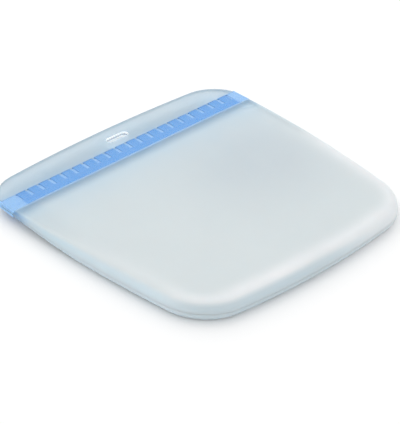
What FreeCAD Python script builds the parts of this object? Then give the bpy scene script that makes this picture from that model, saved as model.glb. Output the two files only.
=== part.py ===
import FreeCAD, Part
import math
import os
from FreeCAD import Vector

# A reusable silicone bag lying on its back: a slim moulded pouch with a press seal across its mouth.
# X runs across the bag, +Y points to the mouth, +Z points up out of the front wall.
# The origin is the middle of the bag's box, on the surface that it rests on. Millimetres.

# Outline of the bag, seen from above
bag_length = 240.3
mouth_corner_width = 233.0
middle_width = 233.4
bottom_corner_width = 207.0
mouth_bow = 6.0
bottom_bow = 9.5
mouth_corner_radius = 24.7
bottom_corner_radius = 30.7
side_arcs = 6

# Section of the bag along its length
bag_thickness = 14.5
edge_radius = 7.0
seal_plane_z = 8.0
lip_half_thickness = 1.9
seal_half_thickness = 3.1
fold_y = 56.0
fold_front_z = 12.9
panel_full_y = -40.0
back_flat_end_y = 20.0
fold_back_z = 2.3

# Walls
panel_wall = 1.5
rim_wall = 2.5
rim_width = 11.0
lip_gap = 0.3
fold_gap = 0.3
mouth_edge_radius = 1.2

# Press seal
seal_low_y = 76.5
seal_high_y = 94.0
seal_strip_thickness = 2.2
bead_y = 80.8
bead_radius = 0.9
bead_clearance = 0.3
bead_half_length = 105.0

# Cross ribs on the mouth side of the seal
rib_count = 20
rib_pitch = 10.6
rib_width = 7.8
rib_middle_x = 2.5
rib_low_y = 85.0
strip_base_thickness = 1.7
strip_base_high_y = 92.4

# Hang slot through both lips
slot_length = 20.0
slot_width = 7.0
slot_x = 3.5
slot_mouth_distance = 16.5

half_length = bag_length / 2
mouth_corner_y = half_length - mouth_bow
bottom_corner_y = bottom_bow - half_length
lip_full_y = seal_high_y + 6.0
slot_y = half_length - slot_mouth_distance
half_gap = lip_gap / 2
margin = 10.0
reach = bag_length


def circle_through(start, middle, end):
    """Centre and radius of the plan circle through three points."""
    circle = Part.Circle(Vector(*start, 0), Vector(*middle, 0), Vector(*end, 0))
    return circle.Center, circle.Radius


def side_circles():
    """The big circles that carry the mouth, right, bottom and left sides, in clockwise order."""
    mouth_x = mouth_corner_width / 2
    middle_x = middle_width / 2
    bottom_x = bottom_corner_width / 2
    side_y = (mouth_corner_y + bottom_corner_y) / 2
    right = [(mouth_x, mouth_corner_y), (middle_x, side_y), (bottom_x, bottom_corner_y)]
    left = [(-x, y) for x, y in reversed(right)]
    mouth = [left[-1], (0, half_length), right[0]]
    bottom = [right[-1], (0, -half_length), left[0]]
    return [circle_through(*points) for points in (mouth, right, bottom, left)]


def corner_centre(first, second, radius, near):
    """Centre of the corner arc that lies inside two side circles and touches both."""
    (centre_a, radius_a), (centre_b, radius_b) = first, second
    reach_a = radius_a - radius
    reach_b = radius_b - radius
    between = centre_b - centre_a
    along = (reach_a ** 2 - reach_b ** 2 + between.Length ** 2) / (2 * between.Length)
    across = math.sqrt(reach_a ** 2 - along ** 2)
    unit = between / between.Length
    normal = Vector(-unit.y, unit.x, 0)
    choices = [centre_a + unit * along + normal * across, centre_a + unit * along - normal * across]
    return min(choices, key=lambda point: (point - near).Length)


def arc_between(centre, radius, start, end):
    """The short arc of a circle between two directions from its centre."""
    first = (start - centre).normalize()
    last = (end - centre).normalize()
    middle = (first + last).normalize()
    return Part.Arc(centre + first * radius, centre + middle * radius, centre + last * radius).toShape()


def bag_outline(inset):
    """Closed plan outline, moved inwards by inset: four outward-bowed sides with rounded corners."""
    sides = side_circles()
    mouth_near = Vector(mouth_corner_width / 2, mouth_corner_y, 0)
    bottom_near = Vector(bottom_corner_width / 2, bottom_corner_y, 0)
    corner_marks = [
        (mouth_corner_radius, mouth_near),
        (bottom_corner_radius, bottom_near),
        (bottom_corner_radius, Vector(-bottom_near.x, bottom_near.y, 0)),
        (mouth_corner_radius, Vector(-mouth_near.x, mouth_near.y, 0)),
    ]
    corners = []
    for index, (radius, near) in enumerate(corner_marks):
        centre = corner_centre(sides[index], sides[(index + 1) % 4], radius, near)
        corners.append((centre, radius))
    edges = []
    for index, (centre, radius) in enumerate(sides):
        before = corners[index - 1][0]
        after = corners[index][0]
        marks = [before + (after - before) * (step / side_arcs) for step in range(side_arcs + 1)]
        edges += [arc_between(centre, radius - inset, *pair) for pair in zip(marks, marks[1:])]
        corner, corner_radius = corners[index]
        following = sides[(index + 1) % 4][0]
        start = corner + (corner - centre)
        end = corner + (corner - following)
        edges.append(arc_between(corner, corner_radius - inset, start, end))
    return Part.Wire(Part.__sortEdges__(edges))


def plan_prism(inset, low, high):
    """The outline, moved inwards by inset, extruded between two heights."""
    face = Part.Face(bag_outline(inset))
    face.translate(Vector(0, 0, low))
    return face.extrude(Vector(0, 0, high - low))


def rounded_slab(inset, low, high, radius):
    """A plan prism with its upper and lower edges rounded."""
    slab = plan_prism(inset, low, high)
    rims = [e for e in slab.Edges if min(abs(v.Z - low) for v in e.Vertexes) < 1e-6
            and abs(e.Vertexes[0].Z - e.Vertexes[-1].Z) < 1e-6]
    rims += [e for e in slab.Edges if min(abs(v.Z - high) for v in e.Vertexes) < 1e-6
             and abs(e.Vertexes[0].Z - e.Vertexes[-1].Z) < 1e-6]
    return slab.makeFillet(radius, rims)


def block(x_low, x_high, y_low, y_high, z_low, z_high):
    size = (x_high - x_low, y_high - y_low, z_high - z_low)
    return Part.makeBox(*size, Vector(x_low, y_low, z_low))


def smooth_line(points):
    spline = Part.BSplineCurve()
    spline.interpolate([Vector(0, y, z) for y, z in points])
    return spline.toShape()


def straight_line(points):
    corners = [Vector(0, y, z) for y, z in points]
    return [Part.makeLine(a, b) for a, b in zip(corners, corners[1:])]


def side_profile(inset, mouth_end):
    """The bag's side view, thinned by inset on both faces, extruded across the whole width."""
    top = [
        (-half_length - margin, bag_thickness - inset),
        (panel_full_y, bag_thickness - inset),
    ]
    front_curve = [
        (panel_full_y, bag_thickness - inset),
        (0.0, bag_thickness - 0.25 - inset),
        (30.0, bag_thickness - 0.8 - inset),
        (fold_y, fold_front_z - inset),
    ]
    front_mouth = [(fold_y, fold_front_z - inset)] + mouth_end
    back_mouth = [(y, 2 * seal_plane_z - z) for y, z in reversed(mouth_end)]
    back_mouth.append((fold_y, fold_back_z + inset))
    back_curve = [
        (fold_y, fold_back_z + inset),
        ((fold_y + back_flat_end_y) / 2, fold_back_z / 4 + inset),
        (back_flat_end_y, inset),
    ]
    base = [(back_flat_end_y, inset), (-half_length - margin, inset)]
    edges = straight_line(top) + [smooth_line(front_curve)] + straight_line(front_mouth)
    edges += straight_line([front_mouth[-1], back_mouth[0]])
    edges += straight_line(back_mouth) + [smooth_line(back_curve)] + straight_line(base)
    edges += straight_line([base[-1], top[0]])
    face = Part.Face(Part.Wire(Part.__sortEdges__(edges)))
    face.translate(Vector(-reach / 2 - margin, 0, 0))
    return face.extrude(Vector(reach + 2 * margin, 0, 0))


def bag_envelope():
    """The outer skin of the whole closed bag as one solid."""
    mouth_end = [
        (seal_low_y, seal_plane_z + seal_half_thickness),
        (seal_high_y, seal_plane_z + seal_half_thickness),
        (lip_full_y, seal_plane_z + lip_half_thickness),
    ]
    slab = rounded_slab(0, 0, bag_thickness, edge_radius)
    thick = slab.common(side_profile(0, mouth_end))
    lip_low = seal_plane_z - lip_half_thickness
    lip_high = seal_plane_z + lip_half_thickness
    lips = rounded_slab(0, lip_low, lip_high, mouth_edge_radius)
    lips = lips.common(block(-reach, reach, lip_full_y - 1, reach, 0, bag_thickness))
    return thick.fuse(lips)


def pouch_cavity():
    """The space for food, from the bottom rim up to the foot of the seal."""
    mouth_end = [(seal_low_y, seal_plane_z + seal_half_thickness - panel_wall)]
    high = bag_thickness - panel_wall
    slab = rounded_slab(rim_wall, panel_wall, high, edge_radius - rim_wall)
    return slab.common(side_profile(panel_wall, mouth_end))


envelope = bag_envelope()
cavity = pouch_cavity()


def hang_slot():
    """A stadium-shaped cutter through both lips."""
    radius = slot_width / 2
    left = slot_x - slot_length / 2 + radius
    right = slot_x + slot_length / 2 - radius
    tool = block(left, right, slot_y - radius, slot_y + radius, 0, bag_thickness)
    for x in (left, right):
        tool = tool.fuse(Part.makeCylinder(radius, bag_thickness, Vector(x, slot_y, 0)))
    return tool


def pouch_walls():
    """Front panel, back panel and the U-shaped rim that joins them round three sides."""
    pouch = envelope.common(block(-reach, reach, -reach, fold_y - fold_gap / 2, -1, bag_thickness + 1))
    shell = pouch.cut(cavity)
    inner = plan_prism(rim_width, -1, bag_thickness + 1)
    rim = shell.cut(inner)
    panels = shell.common(inner)
    front = [solid for solid in panels.Solids if solid.CenterOfMass.z > seal_plane_z]
    back = [solid for solid in panels.Solids if solid.CenterOfMass.z < seal_plane_z]
    return front, back, rim.Solids


def mouth_half(side):
    """The flap above the fold on one side of the seal plane: side is 1 for front, -1 for back."""
    start = fold_y + fold_gap / 2
    if side > 0:
        region = block(-reach, reach, start, reach, seal_plane_z + half_gap, bag_thickness + 1)
    else:
        region = block(-reach, reach, start, reach, -1, seal_plane_z - half_gap)
    return envelope.common(region)


def seal_region(side, y_low, y_high, near, far):
    """A full-width block between two distances from the seal plane."""
    heights = sorted((seal_plane_z + side * near, seal_plane_z + side * far))
    return block(-reach, reach, y_low, y_high, *heights)


def lip(side):
    """Clear flap, with the seal parts moulded into its inner face and the hang slot cut through."""
    clear = mouth_half(side).cut(cavity).cut(hang_slot())
    clear = clear.cut(seal_region(side, seal_low_y, seal_high_y, 0, half_gap))
    return clear.cut(strip_body(side)).cut(Part.makeCompound(seal_ribs(side)))


def strip_body(side):
    """Strip without its bead or groove: full depth on the pouch side, thin between the ribs."""
    far = half_gap + seal_strip_thickness
    strip = mouth_half(side).common(seal_region(side, seal_low_y, seal_high_y, half_gap, far))
    ribs_half = rib_count * rib_pitch / 2
    ribbed = block(rib_middle_x - ribs_half, rib_middle_x + ribs_half, 0, reach, 0, bag_thickness)
    far_side = seal_region(side, rib_low_y, seal_high_y, half_gap + strip_base_thickness, far)
    mouth_side = seal_region(side, strip_base_high_y, seal_high_y, half_gap, far)
    return strip.cut(far_side.common(ribbed)).cut(mouth_side.common(ribbed))


def seal_strip(side):
    """Blue strip in its lip, with the bead on the front one and the groove on the back one."""
    strip = strip_body(side)
    bead_z = seal_plane_z + half_gap
    if side > 0:
        bead = Part.makeCylinder(
            bead_radius, 2 * bead_half_length, Vector(-bead_half_length, bead_y, bead_z), Vector(1, 0, 0))
        return strip.fuse(bead).removeSplitter()
    groove_half = bead_half_length + 1
    groove = Part.makeCylinder(
        bead_radius + bead_clearance, 2 * groove_half, Vector(-groove_half, bead_y, bead_z), Vector(1, 0, 0))
    return strip.cut(groove)


def seal_ribs(side):
    """The row of cross ribs that key one strip into its lip: each sits on the strip and hooks over its edge."""
    far = half_gap + seal_strip_thickness
    pads = []
    for index in range(rib_count):
        x = rib_middle_x + (index - (rib_count - 1) / 2) * rib_pitch
        across = block(x - rib_width / 2, x + rib_width / 2, 0, reach, 0, bag_thickness)
        head = seal_region(side, rib_low_y, seal_high_y, half_gap + strip_base_thickness, far)
        hook = seal_region(side, strip_base_high_y, seal_high_y, half_gap, far)
        pads.append(head.fuse(hook).common(across).removeSplitter().Solids[0])
    return pads


def save(name, solids):
    shape = Part.makeCompound(solids) if len(solids) > 1 else solids[0]
    shape.exportStep("parts/" + name + ".step")
    print(name, len(solids), "solid(s)", round(sum(s.Volume for s in solids), 1), "mm3")


os.makedirs("parts", exist_ok=True)
front_panel, back_panel, gusset_rim = pouch_walls()
save("front_panel", front_panel)
save("back_panel", back_panel)
save("gusset_rim", gusset_rim)
save("front_lip", lip(1).Solids)
save("back_lip", lip(-1).Solids)
save("front_seal_strip", seal_strip(1).Solids)
save("back_seal_strip", seal_strip(-1).Solids)
save("front_seal_ribs", seal_ribs(1))
save("back_seal_ribs", seal_ribs(-1))
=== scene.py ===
import math
import bmesh
import bpy
import numpy as np
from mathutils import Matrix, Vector


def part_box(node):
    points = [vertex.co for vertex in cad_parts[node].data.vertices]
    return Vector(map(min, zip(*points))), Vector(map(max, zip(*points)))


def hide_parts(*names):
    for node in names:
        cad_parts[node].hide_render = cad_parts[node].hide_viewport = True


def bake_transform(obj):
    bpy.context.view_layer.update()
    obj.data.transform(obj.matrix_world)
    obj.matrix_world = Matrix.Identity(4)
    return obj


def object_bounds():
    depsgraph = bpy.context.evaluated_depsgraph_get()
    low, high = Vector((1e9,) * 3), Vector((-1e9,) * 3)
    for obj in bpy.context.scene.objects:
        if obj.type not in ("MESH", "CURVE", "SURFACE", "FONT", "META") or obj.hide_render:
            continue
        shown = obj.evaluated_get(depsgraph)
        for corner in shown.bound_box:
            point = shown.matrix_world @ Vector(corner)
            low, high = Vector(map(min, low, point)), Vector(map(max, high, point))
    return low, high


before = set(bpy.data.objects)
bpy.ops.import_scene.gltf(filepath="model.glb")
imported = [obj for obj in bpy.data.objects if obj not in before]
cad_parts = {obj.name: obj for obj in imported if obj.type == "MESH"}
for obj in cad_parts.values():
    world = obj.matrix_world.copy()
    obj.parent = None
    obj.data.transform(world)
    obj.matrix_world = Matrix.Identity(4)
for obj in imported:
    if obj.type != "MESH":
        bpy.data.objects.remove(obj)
cadLow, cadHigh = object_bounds()
print("frame loaded")

sealLow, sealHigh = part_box("front_seal_strip")
sealY = (sealLow.y, sealHigh.y)
mm = 0.001
hair = 0.01 * mm  # too small a gap to show
crease = math.radians(40)  # corners sharper than this stay sharp

bagPlan = {
    "sideShare": 0.930,  # straight half width, as a share of the bag's widest half width
    "mouthBow": 6.0 * mm,
    "sideBow": 6.7 * mm,
    "bottomBow": 9.5 * mm,
    "taper": 0.059,
    "mouthCorner": 24.7 * mm,
    "bottomCorner": 30.7 * mm,
    "sideSteps": 80,
    "cornerSteps": 8,
    "rings": [0, 0.3, 0.9, 2.0, 3.4, 5.1, 7.0, 8.5, 10.2, 12.2, 14.6, 17.5],  # millimetres from the edge
    "edgeZone": 7.0 * mm,  # width of the rounded edge on the flat sheet
    "longEdge": 100 * mm,  # only the four sides of the sheet are longer
}
halfWidth = cadHigh.x * bagPlan["sideShare"]
mouthCornerY = cadHigh.y - bagPlan["mouthBow"]
bottomCornerY = cadLow.y + bagPlan["bottomBow"]
halfLength = (mouthCornerY - bottomCornerY) / 2
middleY = (mouthCornerY + bottomCornerY) / 2


def deselectMesh():
    bpy.ops.mesh.select_all(action="DESELECT")


def selectOnly(piece):
    bpy.ops.object.select_all(action="DESELECT")
    piece.select_set(True)
    bpy.context.view_layer.objects.active = piece


def pickVertices(piece, wanted):
    form = bmesh.from_edit_mesh(piece.data)
    bpy.ops.mesh.select_mode(type="VERT")
    for vertex in form.verts:
        vertex.select = bool(wanted(vertex.co))
    form.select_flush_mode()
    bmesh.update_edit_mesh(piece.data)


def store(piece, name, values):
    piece.data.attributes.new(name, "FLOAT", "POINT").data.foreach_set("value", values.astype(np.float32))


def recall(piece, name):
    values = np.empty(len(piece.data.vertices), dtype=np.float32)
    piece.data.attributes[name].data.foreach_get("value", values)
    return values.astype(float)


def applyModifiers(piece):
    selectOnly(piece)
    for modifier in list(piece.modifiers):
        bpy.ops.object.modifier_apply(modifier=modifier.name)


# A rounded rectangle of quads: rings along its edge and a grid in its middle.
def flatSheet(name):
    bpy.ops.object.select_all(action="DESELECT")
    bpy.ops.mesh.primitive_plane_add(size=2, location=(0, 0, 0))
    sheet = bpy.context.object
    sheet.name = name
    bpy.ops.object.mode_set(mode="EDIT")
    bpy.ops.mesh.select_all(action="SELECT")
    bpy.ops.transform.resize(value=(halfWidth, halfLength, 1))
    deselectMesh()
    for end, radius in ((1, bagPlan["mouthCorner"]), (-1, bagPlan["bottomCorner"])):
        pickVertices(sheet, lambda co: co.y * end > halfLength - hair)
        bpy.ops.mesh.bevel(offset=radius, segments=bagPlan["cornerSteps"], affect="VERTICES", profile=0.5)
        deselectMesh()
    form = bmesh.from_edit_mesh(sheet.data)
    bpy.ops.mesh.select_mode(type="EDGE")
    for edge in form.edges:
        edge.select = edge.calc_length() > bagPlan["longEdge"]
    bmesh.update_edit_mesh(sheet.data)
    bpy.ops.mesh.subdivide(number_cuts=bagPlan["sideSteps"] - 1)
    deselectMesh()
    bpy.ops.mesh.select_mode(type="FACE")
    bpy.ops.mesh.select_all(action="SELECT")
    rings = [ring * mm for ring in bagPlan["rings"]]
    for before, after in zip(rings, rings[1:]):
        bpy.ops.mesh.inset(thickness=after - before, depth=0, use_even_offset=True)
    bpy.ops.mesh.delete(type="ONLY_FACE")
    bpy.ops.mesh.select_mode(type="EDGE")
    form = bmesh.from_edit_mesh(sheet.data)
    slack = 0.1 * mm
    gridX = halfWidth - rings[-1] + slack
    gridY = halfLength - rings[-1] + slack
    for edge in form.edges:
        place = edge.verts[0].co
        edge.select = edge.is_boundary and abs(place.x) < gridX and abs(place.y) < gridY
    cornerPlace = Vector((halfWidth, halfLength, 0))
    innerRing = {vertex for edge in form.edges if edge.select for vertex in edge.verts}
    cornerVertex = min(innerRing, key=lambda vertex: (vertex.co - cornerPlace).length)
    form.select_history.clear()
    form.select_history.add(cornerVertex)
    bmesh.update_edit_mesh(sheet.data)
    bpy.ops.mesh.fill_grid(span=bagPlan["sideSteps"] + bagPlan["cornerSteps"], offset=0)
    bpy.ops.object.mode_set(mode="OBJECT")
    return sheet


def ease(value):
    value = np.clip(value, 0, 1)
    return value * value * (3 - 2 * value)


# Rises smoothly from 0 at start to 1 at full, which may lie on either side of start.
def span(value, start, full):
    return ease((value - start) / (full - start))


# A height that follows knots of (y, height) in millimetres, with its corners rounded off.
def along(y, knots, blur=5 * mm, samples=9):
    places = [knot[0] * mm for knot in knots]
    heights = [knot[1] * mm for knot in knots]
    steps = np.linspace(-blur, blur, samples)
    return np.mean([np.interp(y + step, places, heights) for step in steps], axis=0)


frontSection = {
    "middle": [(-60, 13.9), (-10, 13.9), (20, 13.7), (40, 13.4), (56, 12.9), (68, 12.0), (76, 11.1),
               (94, 11.0), (101, 10.1), (108, 9.9)],
    "flange": [(-50, 14.2), (-10, 13.8), (15, 13.0), (35, 12.1), (56, 11.5), (76, 10.9), (94, 10.7),
               (102, 9.9), (108, 9.8)],
    "valleyDepth": [(-50, 0), (0, 0.3), (30, 0.8), (62, 0.9), (80, 0.0)],
    "ridge": 0.3 * mm,
    "dish": 1.2 * mm,
}
backSection = {
    "middle": [(20, 0), (30, 0.2), (40, 0.7), (56, 2.3), (68, 4.0), (76, 4.9), (94, 4.9), (101, 5.9),
               (108, 6.1)],
    "flange": [(-20, 0), (10, 0.5), (35, 2.4), (56, 4.2), (76, 5.3), (94, 5.5), (102, 6.1), (108, 6.2)],
    "valleyDepth": [(0, 0), (1, 0)],
    "ridge": 0,
    "dish": 0,
}
edgeSection = {
    "parting": [(-20, 7.25), (20, 7.4), (56, 7.9), (77, 8.0)],
    "radius": [(-60, 7.0), (-20, 6.6), (10, 5.2), (35, 3.9), (56, 3.0), (77, 2.3), (97, 1.8), (112, 1.4)],
    "wall": 1.6 * mm,
    "rimWall": 2.5 * mm,
    "lipClearance": 0.2 * mm,
    "riseStart": 8.0 * mm,
    "riseWidth": 11.0 * mm,
    "valleyPlace": 10.5 * mm,
    "valleyWidth": 5.0 * mm,
    "leastRimInside": 0.4 * mm,
    "seamBlend": 5 * mm,
    "sheetBlend": 14 * mm,
}
panelForm = {  # where the wall's ridge and dish begin and are full
    "ridge": (40 * mm, -20 * mm),
    "dishMouth": (60 * mm, 0),
    "dishBottom": (-110 * mm, -40 * mm),
    "dishSide": 40 * mm,
}


# Distance from the flat sheet's edge, and the direction away from it.
def edgeDistance(x, y):
    radius = np.where(y > 0, bagPlan["mouthCorner"], bagPlan["bottomCorner"])
    overX = np.abs(x) - (halfWidth - radius)
    overY = np.abs(y) - (halfLength - radius)
    inCorner = (overX > 0) & (overY > 0)
    cornerReach = np.hypot(overX, overY)
    distance = np.where(inCorner, radius - cornerReach, radius - np.maximum(overX, overY))
    safe = np.where(inCorner, cornerReach, 1)
    awayX = np.where(inCorner, overX / safe, np.where(overX > overY, 1.0, 0.0)) * -np.sign(x)
    awayY = np.where(inCorner, overY / safe, np.where(overX > overY, 0.0, 1.0)) * -np.sign(y)
    return distance, awayX, awayY


# Gives a flat sheet the bag's section. up is 1 for the front wall and -1 for the back wall.
def shapeSkin(piece, section, up, inner):
    count = len(piece.data.vertices)
    flat = np.empty(count * 3)
    piece.data.vertices.foreach_get("co", flat)
    x, y = flat.reshape(-1, 3)[:, 0], flat.reshape(-1, 3)[:, 1]
    distance, awayX, awayY = edgeDistance(x, y)
    place = y + middleY
    radius = along(place, edgeSection["radius"])
    parting = along(place, edgeSection["parting"])
    flange = along(place, section["flange"])
    middle = along(place, section["middle"])
    half = np.abs(flange - parting)
    zone = bagPlan["edgeZone"]
    turn = np.arccos(np.clip(1 - distance / zone, 0, 1))
    past = np.clip(distance - zone, 0, None)
    sheetWall = edgeSection["wall"]
    if inner:
        across = np.maximum(radius - edgeSection["rimWall"], edgeSection["leastRimInside"])
        tall = np.maximum(half - sheetWall, 2 * edgeSection["lipClearance"])
    else:
        across, tall = radius, half
    rise = ease((distance - edgeSection["riseStart"]) / edgeSection["riseWidth"])
    valleyShape = np.exp(-((distance - edgeSection["valleyPlace"]) / edgeSection["valleyWidth"]) ** 2)
    ridgeShape = span(place, *panelForm["ridge"])
    dishShape = np.clip(1 - (x / halfWidth) ** 2, 0, 1) * span(place, *panelForm["dishMouth"])
    dishShape = dishShape * span(place, *panelForm["dishBottom"])
    dishShape = dishShape * ease((distance - zone) / panelForm["dishSide"])
    detail = section["ridge"] * ridgeShape * valleyShape - along(place, section["valleyDepth"]) * valleyShape
    detail = detail - section["dish"] * dishShape
    skin = flange + (middle - flange) * rise + up * detail
    if inner:
        skin = up * np.maximum(up * skin - sheetWall, up * parting + edgeSection["lipClearance"])
    edgeHeight = parting + up * tall * np.sin(turn)
    height = np.where(distance < zone, edgeHeight, skin)
    if inner:
        seam = parting + up * tall
        joined = seam + (skin - seam) * ease(past / edgeSection["seamBlend"])
        height = np.where(distance < zone, edgeHeight, joined)
    reach = radius - across * np.cos(turn)
    flatReach = radius + past + (zone - radius) * ease(past / edgeSection["sheetBlend"])
    reach = np.where(distance < zone, reach, flatReach)
    x = x + awayX * (reach - distance)
    y = y + awayY * (reach - distance)
    u, v = x / halfWidth, y / halfLength
    endBow = np.where(v > 0, bagPlan["mouthBow"], bagPlan["bottomBow"])
    bowedX = (x + bagPlan["sideBow"] * (1 - v ** 2) * u) * (1 + bagPlan["taper"] * v)
    bowedY = y + endBow * (1 - u ** 2) * v + middleY
    piece.data.vertices.foreach_set("co", np.column_stack((bowedX, bowedY, height)).ravel())
    piece.data.update()
    store(piece, "fromEdge", distance)
    store(piece, "innerSkin", np.full(count, float(inner)))


slotForm = {
    "length": 20 * mm,
    "width": 7 * mm,
    "x": 3.5 * mm,
    "y": cadHigh.y - 16.5 * mm,
    "steps": 14,
    "cutHeight": 30 * mm,
}


# A stadium-shaped block that stands through both lips.
def slotCutter():
    bpy.ops.object.select_all(action="DESELECT")
    bpy.ops.mesh.primitive_cube_add(size=1, location=(slotForm["x"], slotForm["y"], sealLow.z))
    cutter = bpy.context.object
    cutter.name = "slotCutter"
    bpy.ops.object.mode_set(mode="EDIT")
    bpy.ops.mesh.select_all(action="SELECT")
    bpy.ops.transform.resize(value=(slotForm["length"], slotForm["width"], slotForm["cutHeight"]))
    deselectMesh()
    form = bmesh.from_edit_mesh(cutter.data)
    bpy.ops.mesh.select_mode(type="EDGE")
    for edge in form.edges:
        edge.select = abs(edge.verts[0].co.z - edge.verts[1].co.z) > slotForm["cutHeight"] / 2
    bmesh.update_edit_mesh(cutter.data)
    bpy.ops.mesh.bevel(offset=slotForm["width"] / 2 - hair, segments=slotForm["steps"], profile=0.5)
    bpy.ops.object.mode_set(mode="OBJECT")
    return cutter


# One moulded half of the bag: a wall, its half of the rim and its lip, as one closed shell.
def bagHalf(name, section, up, sheet, cutter):
    skins = []
    for inner in (False, True):
        skin = sheet.copy()
        skin.data = sheet.data.copy()
        skin.name = name
        bpy.context.collection.objects.link(skin)
        shapeSkin(skin, section, up, inner)
        if inner == (up > 0):
            selectOnly(skin)
            bpy.ops.object.mode_set(mode="EDIT")
            bpy.ops.mesh.select_all(action="SELECT")
            bpy.ops.mesh.flip_normals()
            bpy.ops.object.mode_set(mode="OBJECT")
        skins.append(skin)
    bpy.ops.object.select_all(action="DESELECT")
    for skin in skins:
        skin.select_set(True)
    bpy.context.view_layer.objects.active = skins[0]
    bpy.ops.object.join()
    half = bpy.context.object
    half.name = name
    bpy.ops.object.mode_set(mode="EDIT")
    deselectMesh()
    bpy.ops.mesh.select_mode(type="EDGE")
    bpy.ops.mesh.select_non_manifold()
    bpy.ops.mesh.bridge_edge_loops()
    bpy.ops.mesh.select_all(action="SELECT")
    bpy.ops.mesh.normals_make_consistent(inside=False)
    bpy.ops.object.mode_set(mode="OBJECT")
    cut = half.modifiers.new("hangSlot", "BOOLEAN")
    cut.operation = "DIFFERENCE"
    cut.object = cutter
    cut.solver = "EXACT"
    applyModifiers(half)
    selectOnly(half)
    bpy.ops.object.shade_smooth_by_angle(angle=crease)
    return half


toneZones = {  # in millimetres, and pairs are where a tone begins and is full
    "lip": (62, 76),
    "pouch": (64, 42),
    "rightSide": (-10, 80),
    "wallReach": (5.0, 2.6),  # on the left and on the right
    "wallBlend": 3,
    "rightWallTop": (9.5, 5.5),
    "bottom": (-70, -105),
    "brightRight": (-40, 80),
    "brightBottom": (-60, -105),
    "leastBright": 0.25,
    "paintedHazeReach": 22,
    "lipPaintedHaze": 0.3,
    "glowReach": 4,
    "ridgePlace": (7.5, 4.5),  # on the left and on the right
    "ridgeWidth": 8.5,
    "ridge": (30, -20),
    "foot": (5, 1),
    "bottomFoot": 0.9,
    "dishMiddle": (58, 4),
    "dishSize": (62, 55),
    "dishAbove": 9,
    "side": (5.5, 2.0),
    "sideKnots": [(56, 0), (70, 0.55), (76, 1), (94, 1), (97, 0.2), (100, 0)],  # (y, share)
    "rimLineWidth": 1.1,
    "rimLine": (60, 80),
    "rimLineSolid": 0.7,
    "ribBacking": (3.5, 1.5),
    "ribBackingInset": 1,
}


# Each share is how strongly one tone of the silicone shows at a point. All tones but the lips' are painted
# light and shade: light on the wall, a highlight on the ridge, haze and glow around the seal, shade at the
# foot and over the dish, glow on the side walls, and a dark edge line.
def markTones(piece):
    zones = toneZones
    mesh = piece.data
    places = np.empty(len(mesh.vertices) * 3)
    mesh.vertices.foreach_get("co", places)
    rest = mesh.attributes.new("restPlace", "FLOAT_VECTOR", "POINT")
    rest.data.foreach_set("vector", places.astype(np.float32))
    x, y, z = places.reshape(-1, 3).T / mm
    fromEdge = recall(piece, "fromEdge") / mm
    inner = recall(piece, "innerSkin")
    sealStart, sealEnd = sealY[0] / mm, sealY[1] / mm
    beside = np.maximum(np.maximum(sealStart - y, y - sealEnd), 0)
    lip = span(y, *zones["lip"])
    rightSide = span(x, *zones["rightSide"])
    # Painted light: the side wall of the pouch is lighter and bluer, as if lit by light carried through the
    # silicone; on the right only low on the wall.
    wallLeft, wallRight = zones["wallReach"]
    wallReach = wallLeft + (wallRight - wallLeft) * rightSide
    wall = ease((wallReach - fromEdge) / zones["wallBlend"]) * span(y, *zones["pouch"])
    wall = wall * (1 - rightSide * (1 - span(z, *zones["rightWallTop"])))
    bottom = span(y, *zones["bottom"])
    # Painted highlight: a bright band along the rim's ridge, strongest on the right and along the bottom,
    # weakest on the left.
    nearLight = np.maximum(span(x, *zones["brightRight"]), span(y, *zones["brightBottom"]))
    nearLight = zones["leastBright"] + (1 - zones["leastBright"]) * nearLight
    store(piece, "lipTone", lip)
    # Painted shade and light: a darker, bluer haze that fades away from the seal, standing in for the seal's
    # blue light scattered in the silicone; weaker on the lip side.
    paintedHazeShare = np.where(y < sealStart, 1, zones["lipPaintedHaze"])
    store(piece, "paintedSealHaze", np.exp(-beside / zones["paintedHazeReach"]) * paintedHazeShare)
    store(piece, "glowTone", np.exp(-beside / zones["glowReach"]))
    ridgeLeft, ridgeRight = zones["ridgePlace"]
    fromRidge = fromEdge - (ridgeLeft + (ridgeRight - ridgeLeft) * rightSide)
    ridge = np.exp(-((fromRidge / zones["ridgeWidth"]) ** 2))
    store(piece, "paintedRidgeHighlight", ridge * span(y, *zones["ridge"]) * nearLight)
    store(piece, "paintedWallLight", wall)
    # Painted shade: the wall is darker low down near the floor, and over the whole wall at the bottom end.
    store(piece, "paintedFootShade", wall * np.maximum(span(z, *zones["foot"]), zones["bottomFoot"] * bottom))
    # Painted shade: a darker patch over the right middle of the front panel, where the dish faces away from
    # the light.
    dishX, dishY = zones["dishMiddle"]
    dishWidth, dishLength = zones["dishSize"]
    dish = np.exp(-((x - dishX) / dishWidth) ** 2 - ((y - dishY) / dishLength) ** 2)
    store(piece, "paintedDishShade", dish * (z > zones["dishAbove"]))
    # Painted light: a strong blue glow on the side walls beside the seal, standing in for the seal's ends
    # seen through the silicone.
    sideGlowShare = np.interp(y, *zip(*zones["sideKnots"]))
    store(piece, "paintedSideGlow", span(fromEdge, *zones["side"]) * sideGlowShare)
    # Painted shade: a thin dark line along the outer edge at the lips, where a clear edge darkens; the same
    # line makes the skin there less clear.
    rimLine = np.exp(-((fromEdge / zones["rimLineWidth"]) ** 2)) * span(y, *zones["rimLine"])
    store(piece, "paintedEdgeShade", rimLine)
    outerClear = frostedLook["panelClear"] + (frostedLook["lipClear"] - frostedLook["panelClear"]) * lip
    innerClear = frostedLook["panelClear"] + (1 - frostedLook["panelClear"]) * lip
    backing = span(np.abs(y + zones["ribBackingInset"] - sealEnd), *zones["ribBacking"])
    innerClear = innerClear * (1 - frostedLook["ribBacking"] * backing)
    store(piece, "outerShare", 1 - inner)
    clear = outerClear * (1 - inner) + innerClear * inner
    store(piece, "clearShare", clear * (1 - zones["rimLineSolid"] * rimLine))


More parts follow.
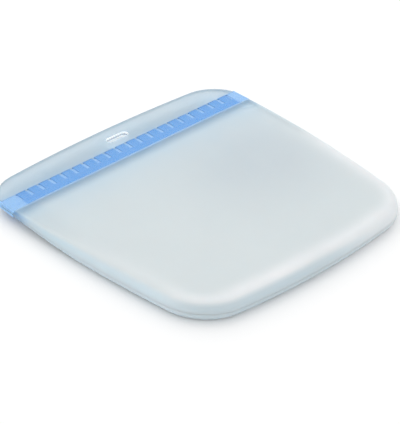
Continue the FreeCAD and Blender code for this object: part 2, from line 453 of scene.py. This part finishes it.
# A screen colour from 0 to 255 as the linear colour a shader takes.
def linear(red, green, blue):
    values = []
    for value in (red, green, blue):
        share = value / 255
        values.append(share / 12.92 if share <= 0.04045 else ((share + 0.055) / 1.055) ** 2.4)
    return (*values, 1)


# A short way to add and join nodes in one material.
class Graph:
    def __init__(self, name):
        self.material = bpy.data.materials.new(name)
        self.material.use_nodes = True
        self.nodes = self.material.node_tree.nodes
        self.links = self.material.node_tree.links
        self.nodes.clear()
        self.output = self.nodes.new("ShaderNodeOutputMaterial")

    def add(self, kind, **values):
        node = self.nodes.new(kind)
        for key, value in values.items():
            setattr(node, key, value)
        return node

    def join(self, source, target):
        self.links.new(source, target)

    def attribute(self, name):
        return self.add("ShaderNodeAttribute", attribute_name=name)

    def noise(self, vector, scale, detail):
        node = self.add("ShaderNodeTexNoise")
        node.inputs["Scale"].default_value = scale
        node.inputs["Detail"].default_value = detail
        self.join(vector, node.inputs["Vector"])
        return node.outputs["Fac"]

    def mixColour(self, share, first, second):
        node = self.add("ShaderNodeMix", data_type="RGBA")
        for index, value in ((6, first), (7, second)):  # the two colour sockets of a colour mix
            if isinstance(value, tuple):
                node.inputs[index].default_value = value
            else:
                self.join(value, node.inputs[index])
        self.join(share, node.inputs[0])
        return node.outputs[2]

    def remap(self, value, low, high, fromLow=0.0, fromHigh=1.0):
        node = self.add("ShaderNodeMapRange")
        node.inputs["From Min"].default_value = fromLow
        node.inputs["From Max"].default_value = fromHigh
        node.inputs["To Min"].default_value = low
        node.inputs["To Max"].default_value = high
        self.join(value, node.inputs["Value"])
        return node.outputs["Result"]

    def bump(self, height, strength, distance):
        node = self.add("ShaderNodeBump")
        node.inputs["Strength"].default_value = strength
        node.inputs["Distance"].default_value = distance
        self.join(height, node.inputs["Height"])
        return node.outputs["Normal"]


frostedLook = {
    "panel": linear(210, 220, 223),
    "cloud": linear(203, 213, 217),
    # Below: the lips' own tone, then painted shade over the dish, painted light on the wall, a painted
    # highlight on the ridge, painted haze and glow of the seal's blue light, painted shade at the foot, a
    # painted blue glow on the side walls and a painted dark edge line.
    "tonesAndPaintedLight": [  # share at full, and colour; each lies over the ones before
        ("lipTone", 1.0, linear(190, 213, 229)),
        # painted shade over the dish
        ("paintedDishShade", 1.0, linear(193, 204, 211)),
        # painted light on the side wall
        ("paintedWallLight", 0.9, linear(208, 228, 240)),
        # painted highlight on the rim's ridge
        ("paintedRidgeHighlight", 0.95, linear(236, 241, 245)),
        # painted blue haze around the seal
        ("paintedSealHaze", 0.9, linear(166, 198, 222)),
        ("glowTone", 0.5, linear(176, 212, 246)),
        # painted shade at the wall's foot
        ("paintedFootShade", 0.7, linear(186, 204, 213)),
        # painted blue glow on the side walls by the seal
        ("paintedSideGlow", 0.9, linear(118, 174, 230)),
        # painted dark line along the lips' edge
        ("paintedEdgeShade", 0.8, linear(140, 160, 176)),
    ],
    # painted light: the skin over the seal tinted pale blue by the seal's light scattered in it
    "overSeal": linear(150, 196, 236),
    "overSealShare": 0.85,
    "sealFade": (0.3 * mm, 0.5 * mm),  # reach of the blur at the seal's edges, outwards and inwards
    "ribCover": 1.6 * mm,  # the lip clouds over the ends of the ribs
    "ribBacking": 0.85,  # how cloudy the lip's inner face is behind the ends of the ribs
    "panelClear": 0.06,
    "lipClear": 0.45,
    # painted light and glow at the slot's wall
    "slotPaintedGlow": linear(240, 248, 252),
    "slotBlur": 0.35 * mm,
    "slotLight": 0.36,
    "sealClear": 0.78,
    "cloudScale": 28,
    "cloudShares": (0.0, 0.35),
    "cloudNoise": (0.35, 0.75),
    "fineScale": 1400,
    "roughness": (0.40, 0.52),
    "bump": (0.06, 0.2 * mm),
    "scatter": 0.5,
    "scatterRadius": (0.8, 1.0, 1.1),
    "softness": 0.004,
}
siliconeIor = 1.41


# How near a point is to the slot's wall, 1 on the wall itself.
def slotShare(graph, place):
    straight = (slotForm["length"] - slotForm["width"]) / 2
    steps = [
        ("SUBTRACT", (slotForm["x"], slotForm["y"], 0)),
        ("ABSOLUTE", (0, 0, 0)),
        ("SUBTRACT", (straight, 0, 0)),
        ("MAXIMUM", (0, 0, 0)),
        ("MULTIPLY", (1, 1, 0)),
        ("LENGTH", (0, 0, 0)),
    ]
    for operation, amount in steps:
        node = graph.add("ShaderNodeVectorMath", operation=operation)
        graph.join(place, node.inputs[0])
        node.inputs[1].default_value = amount
        place = node.outputs[0]
    wall = slotForm["width"] / 2
    return graph.remap(node.outputs[1], 1.0, 0.0, wall, wall + frostedLook["slotBlur"])


# Clear silicone with a fine matt surface: cloudy over the pouch, clearer at the lips, clearest over the seal.
# Its colour also holds painted light, shade and glow, and the slot's wall glows a little.
def frostedSilicone():
    graph = Graph("frostedSilicone")
    place = graph.attribute("restPlace").outputs["Vector"]
    fine = graph.noise(place, frostedLook["fineScale"], 2)
    colour = frostedLook["panel"]
    for name, strength, tone in frostedLook["tonesAndPaintedLight"]:
        share = graph.remap(graph.attribute(name).outputs["Fac"], 0.0, strength)
        colour = graph.mixColour(share, colour, tone)
    clouds = graph.noise(place, frostedLook["cloudScale"], 3)
    cloudShare = graph.remap(clouds, *frostedLook["cloudShares"], *frostedLook["cloudNoise"])
    colour = graph.mixColour(cloudShare, colour, frostedLook["cloud"])
    parts = graph.add("ShaderNodeSeparateXYZ")
    graph.join(place, parts.inputs[0])
    outside, inside = frostedLook["sealFade"]
    rising = graph.remap(parts.outputs["Y"], 0.0, 1.0, sealY[0] - outside, sealY[0] + inside)
    falling = graph.remap(parts.outputs["Y"], 1.0, 0.0, sealY[1] - frostedLook["ribCover"], sealY[1] - inside)
    window = graph.add("ShaderNodeMath", operation="MULTIPLY")
    graph.join(rising, window.inputs[0])
    graph.join(falling, window.inputs[1])
    # Painted light: the skin over the seal takes a pale blue, standing in for the seal's light scattered in
    # it.
    overSeal = graph.remap(window.outputs[0], 0.0, frostedLook["overSealShare"])
    colour = graph.mixColour(overSeal, colour, frostedLook["overSeal"])
    # Painted light: the slot's wall is near white, standing in for light passing through the lips to the
    # floor seen in the slot.
    slotNear = slotShare(graph, place)
    colour = graph.mixColour(slotNear, colour, frostedLook["slotPaintedGlow"])
    shader = graph.add("ShaderNodeBsdfPrincipled")
    graph.join(colour, shader.inputs["Base Color"])
    graph.join(graph.remap(fine, *frostedLook["roughness"]), shader.inputs["Roughness"])
    shader.inputs["IOR"].default_value = siliconeIor
    shader.inputs["Subsurface Weight"].default_value = frostedLook["scatter"]
    shader.inputs["Subsurface Radius"].default_value = frostedLook["scatterRadius"]
    shader.inputs["Subsurface Scale"].default_value = frostedLook["softness"]
    graph.join(graph.bump(fine, *frostedLook["bump"]), shader.inputs["Normal"])
    # Painted glow: the slot's wall emits a little light of its own.
    shader.inputs["Emission Color"].default_value = frostedLook["slotPaintedGlow"]
    graph.join(graph.remap(slotNear, 0.0, frostedLook["slotLight"]), shader.inputs["Emission Strength"])
    clear = graph.add("ShaderNodeBsdfTransparent")
    mix = graph.add("ShaderNodeMixShader")
    clearer = graph.add("ShaderNodeMath", operation="MAXIMUM")
    graph.join(graph.attribute("clearShare").outputs["Fac"], clearer.inputs[0])
    outerWindow = graph.add("ShaderNodeMath", operation="MULTIPLY")
    graph.join(graph.remap(window.outputs[0], 0.0, frostedLook["sealClear"]), outerWindow.inputs[0])
    graph.join(graph.attribute("outerShare").outputs["Fac"], outerWindow.inputs[1])
    graph.join(outerWindow.outputs[0], clearer.inputs[1])
    graph.join(clearer.outputs[0], mix.inputs[0])
    graph.join(shader.outputs[0], mix.inputs[1])
    graph.join(clear.outputs[0], mix.inputs[2])
    graph.join(mix.outputs[0], graph.output.inputs[0])
    return graph.material


blueLook = {
    "thick": linear(92, 162, 230),
    "thin": linear(166, 208, 246),
    "cloud": linear(82, 150, 226),
    "thinFromY": 85 * mm,  # the strip is thinner from here towards the mouth, between the ribs
    "thinBlend": 0.5 * mm,
    "ribMiddle": 2.5 * mm,
    "ribHalf": 106 * mm,
    "ribEndBlend": 1 * mm,
    "cloudScale": 90,
    "cloudShares": (0.0, 0.4),
    "fineScale": 1200,
    "roughness": (0.38, 0.5),
    "bump": (0.08, 0.15 * mm),
    "scatter": 0.15,
    "scatterRadius": (0.4, 0.7, 1.0),
    "softness": 0.002,
}


# Solid blue silicone of the press seal, satin, lighter where the strip is thin or near the bag's sides.
def blueSilicone(name, ribbed):
    graph = Graph(name)
    place = graph.add("ShaderNodeTexCoord").outputs["Object"]
    colour = blueLook["thick"]
    if ribbed:
        parts = graph.add("ShaderNodeSeparateXYZ")
        graph.join(place, parts.inputs[0])
        middle = graph.add("ShaderNodeMath", operation="SUBTRACT")
        graph.join(parts.outputs["X"], middle.inputs[0])
        middle.inputs[1].default_value = blueLook["ribMiddle"]
        aside = graph.add("ShaderNodeMath", operation="ABSOLUTE")
        graph.join(middle.outputs[0], aside.inputs[0])
        thinStart, thinBlend = blueLook["thinFromY"], blueLook["thinBlend"]
        thin = graph.remap(parts.outputs["Y"], 0.0, 1.0, thinStart - thinBlend, thinStart + thinBlend)
        ribHalf, endBlend = blueLook["ribHalf"], blueLook["ribEndBlend"]
        ends = graph.remap(aside.outputs[0], 0.0, 1.0, ribHalf - endBlend, ribHalf + endBlend)
        colour = graph.mixColour(thin, colour, blueLook["thin"])
        colour = graph.mixColour(ends, colour, blueLook["thin"])
    cloudShare = graph.remap(graph.noise(place, blueLook["cloudScale"], 3), *blueLook["cloudShares"])
    colour = graph.mixColour(cloudShare, colour, blueLook["cloud"])
    fine = graph.noise(place, blueLook["fineScale"], 2)
    shader = graph.add("ShaderNodeBsdfPrincipled")
    graph.join(colour, shader.inputs["Base Color"])
    graph.join(graph.remap(fine, *blueLook["roughness"]), shader.inputs["Roughness"])
    shader.inputs["IOR"].default_value = siliconeIor
    shader.inputs["Subsurface Weight"].default_value = blueLook["scatter"]
    shader.inputs["Subsurface Radius"].default_value = blueLook["scatterRadius"]
    shader.inputs["Subsurface Scale"].default_value = blueLook["softness"]
    graph.join(graph.bump(fine, *blueLook["bump"]), shader.inputs["Normal"])
    graph.join(shader.outputs[0], graph.output.inputs[0])
    return graph.material


def dress(piece, material):
    piece.data.materials.clear()
    piece.data.materials.append(material)


def makeBag():
    sheet = flatSheet("flatSheet")
    cutter = slotCutter()
    frosted = frostedSilicone()
    front = bagHalf("frontShell", frontSection, 1, sheet, cutter)
    back = bagHalf("backShell", backSection, -1, sheet, cutter)
    for piece in (sheet, cutter):
        bpy.data.objects.remove(piece)
    for piece in (front, back):
        markTones(piece)
        dress(piece, frosted)
    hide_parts("front_panel", "front_lip", "gusset_rim")
    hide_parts("back_panel", "back_lip")
    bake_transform(front)
    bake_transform(back)
    print("bag halves made")


sealFinish = {"stripCorner": 0.3 * mm, "ribCorner": 0.22 * mm, "cornerSteps": 2, "joinWithin": 0.005 * mm}


def dressSeal():
    strip = blueSilicone("stripSilicone", True)
    rib = blueSilicone("ribSilicone", False)
    finishes = (("_seal_strip", strip, "stripCorner"), ("_seal_ribs", rib, "ribCorner"))
    for end in ("front", "back"):
        for name, material, corner in finishes:
            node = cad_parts[end + name]
            dress(node, material)
            weld = node.modifiers.new("joinedCorners", "WELD")
            weld.merge_threshold = sealFinish["joinWithin"]
            bevel = node.modifiers.new("softCorners", "BEVEL")
            bevel.width = sealFinish[corner]
            bevel.segments = sealFinish["cornerSteps"]
            bevel.limit_method = "ANGLE"
            bevel.angle_limit = crease
    print("seal dressed")


studioLook = {
    "floorSize": 8,
    "floorColour": (0.95, 0.95, 0.95, 1),
    "floorRoughness": 0.9,
    "floorGloss": 0.2,
    "roomLight": 0.94,
    "keyPlace": (0.45, 0.70, 0.95),
    "keySize": 1.6,
    "keyPower": 5.4,
}


def studio():
    bpy.ops.object.select_all(action="DESELECT")
    bpy.ops.mesh.primitive_plane_add(size=studioLook["floorSize"], location=(0, 0, 0))
    floor = bpy.context.object
    floor.name = "floor"
    graph = Graph("paleFloor")
    shader = graph.add("ShaderNodeBsdfPrincipled")
    shader.inputs["Base Color"].default_value = studioLook["floorColour"]
    shader.inputs["Roughness"].default_value = studioLook["floorRoughness"]
    shader.inputs["Specular IOR Level"].default_value = studioLook["floorGloss"]
    graph.join(shader.outputs[0], graph.output.inputs[0])
    dress(floor, graph.material)
    world = bpy.data.worlds.new("studio")
    bpy.context.scene.world = world
    world.use_nodes = True
    background = world.node_tree.nodes["Background"]
    background.inputs["Color"].default_value = (1, 1, 1, 1)
    background.inputs["Strength"].default_value = studioLook["roomLight"]
    lamp = bpy.data.lights.new("softKey", "AREA")
    lamp.size = studioLook["keySize"]
    lamp.energy = studioLook["keyPower"]
    holder = bpy.data.objects.new("softKey", lamp)
    bpy.context.collection.objects.link(holder)
    keyPlace = Vector(studioLook["keyPlace"])
    holder.location = keyPlace
    holder.rotation_euler = (-keyPlace).to_track_quat("-Z", "Y").to_euler()
    bpy.context.scene.view_settings.view_transform = "Standard"
    print("studio ready")


cameraFacts = {  # degrees, metres, and a lens in millimetres
    "azimuth": -42.46,
    "elevation": 34.16,
    "distance": 1.399,
    "lens": 161.3,
    "shiftX": -0.0080,
    "shiftY": -0.0166,
}


def placeCamera():
    turn = math.radians(cameraFacts["azimuth"])
    rise = math.radians(cameraFacts["elevation"])
    back = Vector((math.sin(turn) * math.cos(rise), -math.cos(turn) * math.cos(rise), math.sin(rise)))
    data = bpy.data.cameras.new("camera")
    camera = bpy.data.objects.new("camera", data)
    bpy.context.collection.objects.link(camera)
    camera.location = Vector((0, middleY, 0)) + back * cameraFacts["distance"]
    camera.rotation_euler = back.to_track_quat("Z", "Y").to_euler()
    data.lens = cameraFacts["lens"]
    data.shift_x = cameraFacts["shiftX"]
    data.shift_y = cameraFacts["shiftY"]
    bpy.context.scene.camera = camera
    print("camera placed")


placeCamera()
makeBag()
dressSeal()
studio()
